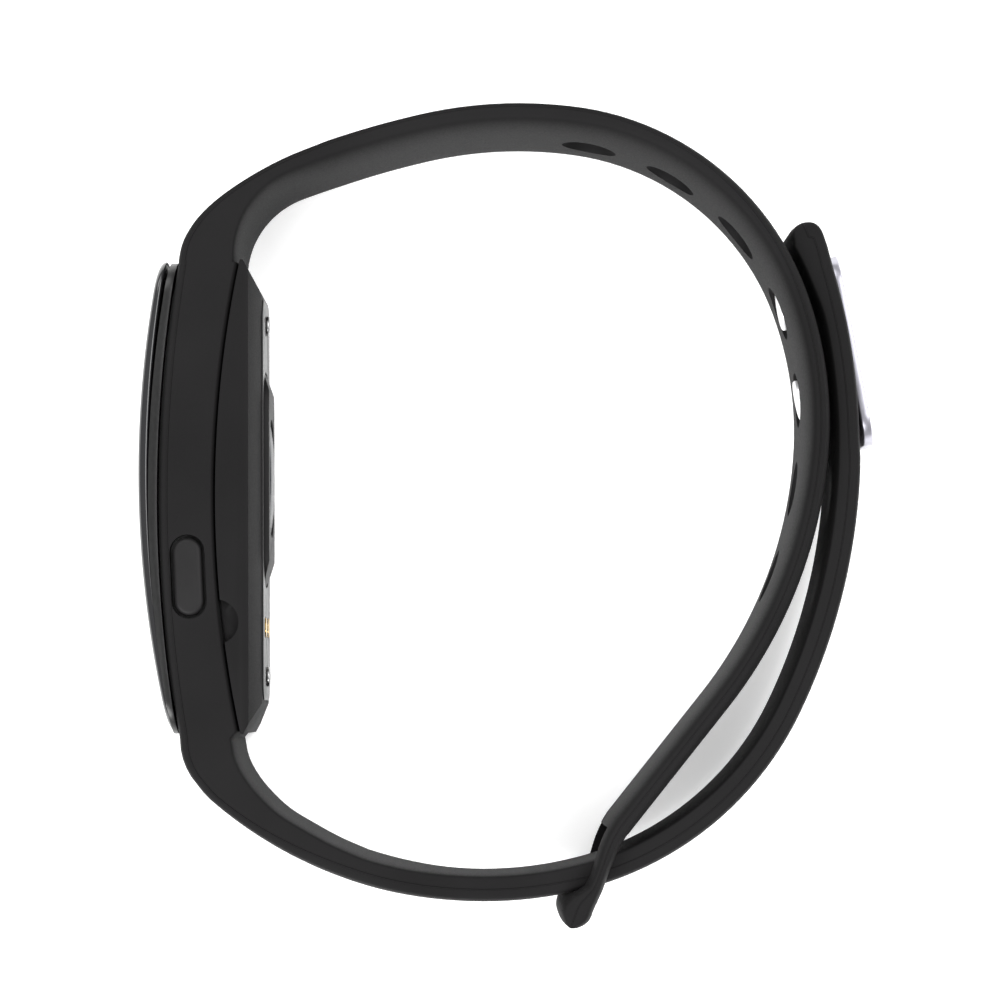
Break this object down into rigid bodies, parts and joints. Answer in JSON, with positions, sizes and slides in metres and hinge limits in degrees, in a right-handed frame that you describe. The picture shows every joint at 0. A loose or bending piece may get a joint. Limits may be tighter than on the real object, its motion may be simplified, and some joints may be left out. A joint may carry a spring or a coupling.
{
  "type": "fitness_tracker_band",
  "caption": "Slim fitness tracker with a dark grey silicone wristband, a curved smoke-black lens on its outer side, and a metal clasp bar that pegs one strap end through the other",
  "frame": {"origin": "centre of the bounding box on the floor the closed band lies on, its side edge down", "axes": "+Z across the strap's width, up when the band lies on its side; -X from the wrist opening towards the display; +Y along the module, from the loop end towards the end the strap with holes leaves"},
  "size_m": [0.0714, 0.0798, 0.02],
  "materials": {
    "band_silicone": "soft matte moulded silicone, faint mottling, mould parting line on the edges",
    "clasp_metal": "satin anodised, pale silver",
    "peg_metal": "satin, light silver",
    "lens_glass": "smoke-black glossy front lens",
    "housing_black": "black, semi-gloss",
    "display_glass": "black display, switched off",
    "shell_plastic": "dark grey fine texture",
    "skin_metal": "polished dark grey rim plate",
    "island_plastic": "mid-dark grey, fine grain",
    "sensor_glass": "dark smoked window",
    "button_plastic": "soft satin grey",
    "screw_steel": "plain bright steel",
    "contact_gold": "gold-plated contact",
    "seal_rubber": "soft black seal",
    "chassis_plastic": "dark glass-filled plastic",
    "board_green": "green solder mask",
    "chip_black": "moulded chip package",
    "led_clear": "clear green emitter",
    "battery_foil": "pouch cell foil",
    "pad_foam": "white foam tape",
    "flex_copper": "copper on amber film",
    "rotor_metal": "dense sintered metal"
  },
  "bodies": {
    "root": {"band_frame": "band_silicone", "upper_strap": "band_silicone", "lower_strap": "band_silicone", "front_lens": "lens_glass", "lens_gasket": "seal_rubber", "front_housing": "housing_black", "display_panel": "display_glass", "display_flex": "flex_copper", "mid_frame": "chassis_plastic", "back_shell": "shell_plastic", "skin_plate": "skin_metal", "sensor_island": "island_plastic", "sensor_window": "sensor_glass", "sensor_board": "board_green", "sensor_leds": "led_clear", "sensor_photodiode": "chip_black", "light_baffle": "chip_black", "charging_contacts": "contact_gold", "back_screws": "screw_steel", "shell_gasket": "seal_rubber", "main_board": "board_green", "board_chips": "chip_black", "shield_can": "screw_steel", "battery": "battery_foil", "battery_pad": "pad_foam", "motor_can": "screw_steel", "antenna": "flex_copper", "button_seal": "seal_rubber", "button_switch": "screw_steel"},
    "button": {"button_cap": "button_plastic"},
    "tongue": {"strap_tongue": "band_silicone", "clasp_plate": "clasp_metal", "clasp_pegs": "peg_metal"},
    "rotor": {"motor_rotor": "rotor_metal"}
  },
  "joints": [
    {"name": "button_press", "type": "slide", "parent": "root", "child": "button", "axis": [0, 0, -1], "range_m": [0, 0.0004], "stiffness_N_per_m": 800},
    {"name": "clasp_peel", "type": "hinge", "parent": "root", "child": "tongue", "pos_m": [0.0325, -0.00012, 0.01], "axis": [0, 0, -1], "range_deg": [0, 25]},
    {"name": "motor_spin", "type": "hinge", "parent": "root", "child": "rotor", "pos_m": [-0.02838, -0.00984, 0.0076], "axis": [1, 0.0052, 0], "continuous": true}
  ]
}
